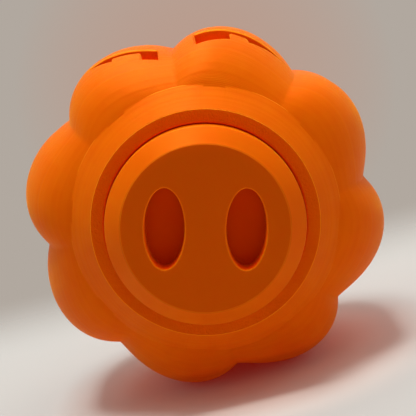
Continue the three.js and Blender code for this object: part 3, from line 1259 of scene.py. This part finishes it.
@dataclass
class PumpkinShell:
    """The shell: lobes, collar, threaded neck, stem and carved face in one print."""

    fits: Fits
    body: LobedBody = field(default_factory=LobedBody)
    stem: Stem = field(default_factory=Stem)
    face: CarvedFace = field(default_factory=CarvedFace)
    wall: float = 3.0
    face_width: float = 3.5
    cone: float = 6.0
    rim: float = 2.0
    neck_wall: float = 3.2
    flange_width: float = 3.0
    flange_thickness: float = 3.0
    groove_depth: float = 1.4
    groove_mouth: float = 4.0
    groove_floor: float = 2.4
    groove_stop: float = 0.8  # mm of plain neck past the grooves
    recess_margin: float = 0.1  # mm by which a place may lie outside the lid's recess and still belong to it
    recess_mark: float = 0.3  # how deep that recess counts, which gets some painted glow round the lid
    dim_share: float = 0.08  # of the painted glow, on the chamber's side away from the carved face
    lobe_facets: int = 40
    shoulder_steps: int = 40
    piece: Piece = field(
        default_factory=lambda: Piece("pumpkin_shell_print", "pumpkin_shell", "shell", "orange_print")
    )

    def collar(self) -> bpy.types.Mesh:
        """Makes the cone round the lid, with its flat front face.

        Returns:
            The cone as a closed mesh.
        """
        fits = self.fits
        inner = fits.seat_radius + self.face_width
        foot = fits.collar_face + self.cone
        corners = [
            (0.0, fits.collar_face, 0.0),
            (inner, fits.collar_face, SMALL_ROUND),
            (inner + self.cone, foot, SMALL_ROUND),
            (inner + self.cone, foot + self.rim, 0.0),
            (0.0, foot + self.rim, 0.0),
        ]
        return revolve(rounded_profile(corners), fits.facets)

    def neck(self) -> bpy.types.Mesh:
        """Makes the neck inside the base, with the flange that stiffens its root.

        Returns:
            The neck before it is bored.
        """
        fits = self.fits
        outside = fits.bore_radius + self.neck_wall
        flange_top = fits.seat + self.flange_thickness
        corners = [
            (0.0, fits.seat, 0.0),
            (outside + self.flange_width, fits.seat, 0.0),
            (outside + self.flange_width, flange_top, SMALL_ROUND),
            (outside, flange_top, SMALL_ROUND),
            (outside, fits.neck_end, SMALL_ROUND),
            (0.0, fits.neck_end, 0.0),
        ]
        return revolve(rounded_profile(corners), fits.facets)

    def bores(self) -> Iterator[bpy.types.Mesh]:
        """Gives the cutters of the lid's recess, the neck's bore and its thread.

        Returns:
            The cutters in order.
        """
        fits = self.fits
        recess = [
            (0.0, fits.collar_face - OVERRUN, 0.0),
            (fits.seat_radius + OVERRUN + SMALL_ROUND, fits.collar_face - OVERRUN, 0.0),
            (fits.seat_radius + SMALL_ROUND, fits.collar_face, SMALL_ROUND / 2),
            (fits.seat_radius, fits.collar_face + SMALL_ROUND, SMALL_ROUND / 2),
            (fits.seat_radius, fits.seat, SMALL_ROUND),
            (0.0, fits.seat, 0.0),
        ]
        yield revolve(rounded_profile(recess), fits.facets)
        lead_in = 2 * SMALL_ROUND
        bore = [
            (0.0, fits.seat - OVERRUN),
            (fits.bore_radius + lead_in + OVERRUN, fits.seat - OVERRUN),
            (fits.bore_radius, fits.seat + lead_in),
            (fits.bore_radius, fits.neck_end + OVERRUN),
            (0.0, fits.neck_end + OVERRUN),
        ]
        yield revolve(bore, fits.facets)
        start = fits.seat - OVERRUN
        length = fits.neck_length + OVERRUN - self.groove_stop
        section = self.groove_depth, self.groove_mouth, self.groove_floor
        yield Thread(fits.bore_radius, fits.thread_lead, start, length, *section).mesh()

    def build(self) -> bpy.types.Mesh:
        """Joins and cuts the whole shell, upright and in mm.

        Returns:
            The shell.
        """
        outside = self.body.mesh(self.shoulder_steps, self.lobe_facets)
        skin = BVHTree.FromPolygons(
            [vertex.co for vertex in outside.vertices], [list(face.vertices) for face in outside.polygons]
        )
        chamber = self.body.mesh(self.shoulder_steps // 2, self.lobe_facets // 2, self.wall)
        shell = combine(outside, self.collar(), Join.ADD)
        shell = combine(shell, self.stem.mesh(self.body.dimple_floor), Join.ADD)
        shell = combine(shell, chamber, Join.CUT)
        shell = combine(shell, self.neck(), Join.ADD)
        for cutter in self.bores():
            shell = combine(shell, cutter, Join.CUT)
        for outline in self.face.outlines():
            cutter = self.face.cutter(outline, skin, self.body.radius + OVERRUN)
            shell = combine(shell, cutter, Join.CUT)
        self.mark_within(shell, skin)
        return shell

    def mark_within(self, shell: bpy.types.Mesh, skin: BVHTree) -> None:
        """Stores for each corner how deep it lies under the skin, and so how strong its painted red glow is.

        That is 0 on the skin and 1 in the chamber by the carved face, and less where little light would come
        in.

        Args:
            shell: the whole shell.
            skin: the body's outside before it was cut.
        """
        depths = []
        for vertex in shell.vertices:
            place, outwards, _, distance = skin.find_nearest(vertex.co)
            by_lid = vertex.co.xy.length < self.fits.seat_radius + self.recess_margin
            depth = 0.0
            if by_lid and vertex.co.z < self.fits.seat:
                depth = self.recess_mark
            elif (vertex.co - place).dot(outwards) < 0:
                # The painted glow is stronger towards the top, where the walls face the lamps.
                lit = max(0.0, -vertex.co.y / self.body.radius) ** 2
                depth = min(1.0, distance / self.wall) * (self.dim_share + (1 - self.dim_share) * lit)
            depths.append(depth)
        shell.attributes.new(WITHIN, "FLOAT", "POINT").data.foreach_set("value", depths)

    def dress(self, placement: Placement) -> bpy.types.Object:
        """Builds the shell, lays it in the frame and gives it its finish.

        Args:
            placement: where the drawing goes.

        Returns:
            The object.
        """
        plate_face = placement.along(self.fits.collar_face)
        finish = PrintedPlastic("pla_printed_layers_and_plate").material(plate_face)
        return self.piece.place(self.build(), finish, placement)


@dataclass
class TwistLid:
    """The screw lid: bevelled head, hollow threaded plug and two blind finger wells."""

    fits: Fits
    bevel_width: float = 4.25
    bevel_height: float = 3.85
    head_height: float = 9.0
    wall: float = 2.2
    clock: float = math.radians(14.3)
    lead_in: float = 0.8
    well_half_width: float = 5.15
    well_half_length: float = 10.45
    well_spread: float = 10.4
    well_depth: float = 6.6
    well_wall: float = 1.8
    well_round: float = 0.45
    well_facets: int = 96
    ridge_height: float = 1.0
    ridge_root: float = 2.6
    ridge_crest: float = 1.2
    ridge_start: float = 0.9  # mm past the seat
    ridge_rise: float = 6.0
    face_rim: float = 1.0  # mm of the face's edge that don't count as inside a well
    piece: Piece = field(default_factory=lambda: Piece("twist_lid_print", "twist_lid", "lid", "orange_print"))

    @property
    def front(self) -> float:
        """Height of the lid's face."""
        return self.fits.head_underside - self.head_height

    def well(self, side: int, levels: Sequence[Point]) -> bpy.types.Mesh:
        """Makes an oval column beside the lid's centre.

        Args:
            side: -1 or 1, the side of the lid.
            levels: how much wider than the well it is, and the height, from end to end.

        Returns:
            The column.
        """
        loops = []
        for grow, height in levels:
            loop = []
            for i in range(self.well_facets):
                angle = 2 * math.pi * i / self.well_facets
                x = side * self.well_spread + (self.well_half_width + grow) * math.cos(angle)
                loop.append((x, (self.well_half_length + grow) * math.sin(angle), height))
            loops.append(loop)
        return loft(loops)

    def well_levels(self) -> list[Point]:
        """Widths and heights of a well, round at its rim and at its floor.

        Returns:
            The levels, as the well takes them.
        """
        levels = [(self.well_round, self.front - OVERRUN)]
        floor = self.front + self.well_depth
        for i in range(ROUND_STEPS + 1):
            turn = i / ROUND_STEPS * math.pi / 2
            fall = self.well_round * (1 - math.cos(turn))
            levels.append((self.well_round * (1 - math.sin(turn)), self.front + fall))
        for i in range(ROUND_STEPS + 1):
            turn = i / ROUND_STEPS * math.pi / 2
            rise = self.well_round * (1 - math.sin(turn))
            levels.append((-self.well_round * (1 - math.cos(turn)), floor - rise))
        return levels

    def build(self) -> bpy.types.Mesh:
        """Joins and cuts the lid, upright and in mm.

        Returns:
            The lid.
        """
        fits, front = self.fits, self.front
        corners = [
            (0.0, front, 0.0),
            (fits.lid_radius - self.bevel_width, front, SMALL_ROUND),
            (fits.lid_radius, front + self.bevel_height, SMALL_ROUND),
            (fits.lid_radius, fits.head_underside, SMALL_ROUND),
            (fits.plug_radius, fits.head_underside, 0.0),
            (fits.plug_radius, fits.plug_end - self.lead_in, SMALL_ROUND),
            (fits.plug_radius - self.lead_in, fits.plug_end, SMALL_ROUND),
            (0.0, fits.plug_end, 0.0),
        ]
        lid = revolve(rounded_profile(corners), fits.facets)
        section = self.ridge_height, self.ridge_root, self.ridge_crest
        start = fits.seat + self.ridge_start
        ridges = Thread(fits.plug_radius, fits.thread_lead, start, self.ridge_rise, *section)
        lid = combine(lid, ridges.mesh(), Join.ADD)
        inside = fits.plug_radius - self.wall
        ceiling = front + self.wall
        corners = [
            (0.0, ceiling, 0.0),
            (inside, ceiling, SMALL_ROUND),
            (inside, fits.plug_end + OVERRUN, 0.0),
            (0.0, fits.plug_end + OVERRUN, 0.0),
        ]
        hollow = revolve(rounded_profile(corners), fits.facets)
        floor = front + self.well_depth + self.well_wall
        for side in (-1, 1):
            column = self.well(side, [(self.well_wall, front), (self.well_wall, floor)])
            hollow = combine(hollow, column, Join.CUT)
        lid = combine(lid, hollow, Join.CUT)
        for side in (-1, 1):
            lid = combine(lid, self.well(side, self.well_levels()), Join.CUT)
        # How deep each corner lies in a well, which sets the wells' painted shade and the painted glow under
        # their rims.
        spread = fits.lid_radius - self.bevel_width - self.face_rim
        depths = [
            min(1.0, max(0.0, v.co.z - front) / self.well_depth) if v.co.xy.length < spread else 0.0
            for v in lid.vertices
        ]
        lid.attributes.new(WITHIN, "FLOAT", "POINT").data.foreach_set("value", depths)
        lid.transform(Matrix.Rotation(self.clock, 4, "Z"))
        return lid

    def dress(self, placement: Placement) -> bpy.types.Object:
        """Builds the lid, lays it in the frame and gives it its finish.

        Args:
            placement: where the drawing goes.

        Returns:
            The object.
        """
        finish = PrintedPlastic(
            "pla_printed_layers_and_smooth_face",
            glow_around=0.0,
            glow_below=0.0,
            glow_within=0.0,
            # painted glow under the wells' rims
            glow_rim=0.3,
            # painted shade in the finger wells
            recess="#bc2c00",
            recess_shade_share=0.65,
            crease_share=0.0,
            # painted highlight on the lid's rounded edges
            edge="#ea6f0a",
            # painted shade on the lid's face
            shaded_plate_side="#dd5903",
            plate_bump=0.03,
        ).material(placement.along(self.front))
        return self.piece.place(self.build(), finish, placement)


@dataclass
class SealRing:
    """The flat seal ring under the lid's head."""

    fits: Fits
    edge_round: float = 0.5
    seam: float = 0.1  # mm between the two ends of the section's outline
    piece: Piece = field(default_factory=lambda: Piece("lid_seal_moulded", "lid_seal_ring", "seal", "seal"))

    def build(self) -> bpy.types.Mesh:
        """Revolves the ring's round-edged section.

        Returns:
            The ring.
        """
        fits = self.fits
        inside = fits.plug_radius + fits.ring_gap
        outside = fits.lid_radius - fits.ring_inset
        low = fits.head_underside + fits.seat_gap
        high = low + fits.ring_thickness
        middle = (inside + outside) / 2
        corners = [
            (middle, low, 0.0),
            (outside, low, self.edge_round),
            (outside, high, self.edge_round),
            (inside, high, self.edge_round),
            (inside, low, self.edge_round),
            (middle - self.seam, low, 0.0),
        ]
        return revolve(rounded_profile(corners), fits.facets)

    def dress(self, placement: Placement) -> bpy.types.Object:
        """Builds the ring, lays it in the frame and gives it its finish."""
        return self.piece.place(self.build(), SiliconeRubber().material(), placement)


@dataclass(frozen=True)
class Lamp:
    """A soft square lamp, placed from the object's middle, in mm."""

    name: str
    place: tuple[float, float, float]
    size: float
    watts: float
    colour: str = "#ffffff"

    def light(self, middle: Vector) -> None:
        """Hangs the lamp and turns it to the object's middle.

        Args:
            middle: that middle, in metres.
        """
        data = bpy.data.lights.new(self.name, "AREA")
        data.size = self.size * MM
        data.energy = self.watts
        data.color = linear_colour(self.colour)[:3]
        made = bpy.data.objects.new(self.name, data)
        made.location = middle + Vector(self.place) * MM
        made.rotation_mode = "QUATERNION"
        made.rotation_quaternion = (middle - made.location).to_track_quat("-Z", "Y")
        bpy.context.scene.collection.objects.link(made)


@dataclass
class Studio:
    """A pale paper floor that runs into a plain backdrop, soft lamps and the photograph's camera."""

    floor_colour: str = "#b3a8a1"
    floor_roughness: float = 0.8
    painted_bounce: str = "#ecccbd"  # painted warm light on the paper round the print, which lightens and warms its shadow
    tint_middle: Point = (0.0, -9.0)  # mm, in front of the shell, which shades the paper behind
    tint_reach: Point = (25.0, 62.0)  # mm from there where the painted warm light starts to fade, and ends
    backdrop: str = "#b1a89f"
    backdrop_painted_warmth: str = "#ba9b8c"  # painted warm light on the backdrop behind the print
    warm_aim: Point = (0.0, 32.0)  # mm in the picture from the waist to the middle of that
    warm_reach: float = math.radians(9.0)
    fill_colour: str = "#adaba8"
    fill: float = 1.17
    front_low: float = 0.75  # fill from low in front
    front_high: float = 0.0
    front_heights: Point = (0.2, 0.6)  # directions' Z between which the first fades into the second
    front_depths: Point = (-0.8, 0.0)  # directions' Y between which the front fades into the rest
    left_fill: float = 0.95
    right_fill: float = 1.3
    floor_reach: float = 2000.0
    floor_end: Point = (60.0, 165.0)  # mm behind the middle where the floor runs into the backdrop
    lens: float = 103.85
    nearest: float = 10.0  # mm from the camera to the nearest thing it shows
    distance: float = 344.8
    pitch: float = math.radians(9.22)
    yaw: float = math.radians(2.33)
    roll: float = math.radians(-14.25)
    aim: Point = (0.72, -1.92)  # mm in the picture from the waist to the picture's middle
    lamps: tuple[Lamp, ...] = (
        Lamp("key", (-50.0, 0.0, 2500.0), 760.0, 64.0, "#e4faff"),
        Lamp("ceiling", (60.0, 210.0, 950.0), 1300.0, 6.0),
    )

    def floor(self, height: float) -> None:
        """Lays the floor at a height, in metres.

        Args:
            height: the height.
        """
        reach = self.floor_reach * MM
        signs = ((-1, -1), (1, -1), (1, 1), (-1, 1))
        corners = [(x * reach, y * reach, height) for x, y in signs]
        mesh = bpy.data.meshes.new("floor")
        mesh.from_pydata(corners, [], [[0, 1, 2, 3]])
        mesh.materials.append(self.paper())
        made = bpy.data.objects.new("floor", mesh)
        bpy.context.scene.collection.objects.link(made)
        made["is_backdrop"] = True

    def paper(self) -> bpy.types.Material:
        """Makes the floor's matt paper, with painted warm light beside the print, and gone to the eye past
        its far end.

        Returns:
            The material.
        """
        made, shader, add = new_material("studio_paper_matt")
        place = add("ShaderNodeTexCoord", out="Object")
        warm = (*(part * MM for part in self.tint_middle), 0.0)
        away = add("ShaderNodeVectorMath", {0: place, 1: warm}, "Value", operation="DISTANCE")
        near, far = (limit * MM for limit in self.tint_reach)
        painted_bounce = add("ShaderNodeMapRange", {"Value": away, 1: far, 2: near}, interpolation_type="SMOOTHSTEP")
        mixed = {0: painted_bounce, 6: linear_colour(self.floor_colour), 7: linear_colour(self.painted_bounce)}
        colour = add("ShaderNodeMix", mixed, 2, data_type="RGBA")
        feed(made.node_tree, shader, {"Base Color": colour, "Roughness": self.floor_roughness})
        along = add("ShaderNodeSeparateXYZ", {0: place}, "Y")
        start, end = (limit * MM for limit in self.floor_end)
        ended = add("ShaderNodeMapRange", {"Value": along, 1: start, 2: end}, interpolation_type="SMOOTHSTEP")
        seen = add("ShaderNodeLightPath", out="Is Camera Ray")
        gone = add("ShaderNodeMath", {0: ended, 1: seen}, operation="MULTIPLY")
        clear = add("ShaderNodeBsdfTransparent")
        surface = add("ShaderNodeMixShader", {0: gone, 1: shader.outputs[0], 2: clear})
        feed(made.node_tree, made.node_tree.nodes["Material Output"], {"Surface": surface})
        return made

    def world(self, warm: Vector) -> None:
        """Sets the backdrop, with painted warm light behind the print, and for the light a fill that leaves
        the front dim.

        Args:
            warm: direction of the backdrop's painted warm light.
        """
        world = bpy.data.worlds.new("studio")
        world.use_nodes = True
        tree = world.node_tree
        add = partial(add_node, tree)
        seen = add("ShaderNodeLightPath", out="Is Camera Ray")
        towards = add("ShaderNodeTexCoord", out="Generated")
        x, y, z = add("ShaderNodeSeparateXYZ", {0: towards}).node.outputs
        low, high = self.front_heights
        limits = {1: low, 2: high, 3: self.front_low, 4: self.front_high}
        front = add("ShaderNodeMapRange", {"Value": z, **limits})
        low, high = self.front_depths
        fill = add("ShaderNodeMapRange", {"Value": y, 1: low, 2: high, 3: front, 4: self.fill})
        side = add("ShaderNodeMapRange", {"Value": x, 1: -1.0, 2: 1.0, 3: self.left_fill, 4: self.right_fill})
        fill = add("ShaderNodeMath", {0: fill, 1: side}, operation="MULTIPLY")
        strength = add("ShaderNodeMix", {0: seen, 2: fill, 3: 1.0}, data_type="FLOAT")
        near = add("ShaderNodeVectorMath", {0: towards, 1: warm}, "Value", operation="DOT_PRODUCT")
        warmth = add("ShaderNodeMapRange", {"Value": near, 1: math.cos(self.warm_reach), 2: 1.0})
        mixed = {0: warmth, 6: linear_colour(self.backdrop), 7: linear_colour(self.backdrop_painted_warmth)}
        wall = add("ShaderNodeMix", mixed, 2, data_type="RGBA")
        mixed = {0: seen, 6: linear_colour(self.fill_colour), 7: wall}
        colour = add("ShaderNodeMix", mixed, 2, data_type="RGBA")
        feed(tree, tree.nodes["Background"], {"Color": colour, "Strength": strength})
        bpy.context.scene.world = world

    def camera(self, middle: Vector) -> Vector:
        """Sets the camera up at the photograph's angle, rolled as it was.

        Args:
            middle: the middle of the pumpkin's waist, in metres.

        Returns:
            The direction in which the camera has the backdrop's painted warm light.
        """
        away = Vector((math.sin(self.yaw), -math.cos(self.yaw), 0)) * math.cos(self.pitch)
        away.z = math.sin(self.pitch)
        level = Vector((0, 0, 1)).cross(away).normalized()
        across = (Matrix.Rotation(self.roll, 3, away) @ level).normalized()
        up = away.cross(across)
        target = middle + (across * self.aim[0] + up * self.aim[1]) * MM
        data = bpy.data.cameras.new("camera")
        data.lens = self.lens
        data.clip_start = self.nearest * MM
        made = bpy.data.objects.new("camera", data)
        made.location = middle + away * self.distance * MM
        back = (made.location - target).normalized()
        across = (across - back * across.dot(back)).normalized()
        rows = Matrix((across, back.cross(across), back)).transposed()
        made.rotation_mode = "QUATERNION"
        made.rotation_quaternion = rows.to_quaternion()
        bpy.context.scene.collection.objects.link(made)
        bpy.context.scene.camera = made
        warm = middle + (across * self.warm_aim[0] + up * self.warm_aim[1]) * MM
        return (warm - made.location).normalized()

    def build(self, middle: Vector, floor_height: float) -> None:
        """Builds the whole studio.

        Args:
            middle: the middle of the pumpkin's waist, in metres.
            floor_height: where the object stands, in metres.
        """
        self.floor(floor_height)
        self.world(self.camera(middle))
        for lamp in self.lamps:
            lamp.light(middle)
        bpy.context.scene.view_settings.view_transform = "Standard"


def main() -> None:
    logging.basicConfig(level=logging.INFO, format="%(message)s")
    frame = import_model()
    cad_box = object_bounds()
    fits = Fits()
    placement = Placement.from_frame(frame, fits.collar_face)
    for part in (PumpkinShell(fits), TwistLid(fits), SealRing(fits)):
        made = part.dress(placement)
        LOG.info("%s is in place", made.name)
    visual_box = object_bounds()
    Studio().build(placement.matrix.translation, visual_box[0].z)
    boxes = {"cad": cad_box, "visual": visual_box}
    {name: [list(corner) for corner in box] for name, box in boxes.items()}


if __name__ == "__main__":
    main()
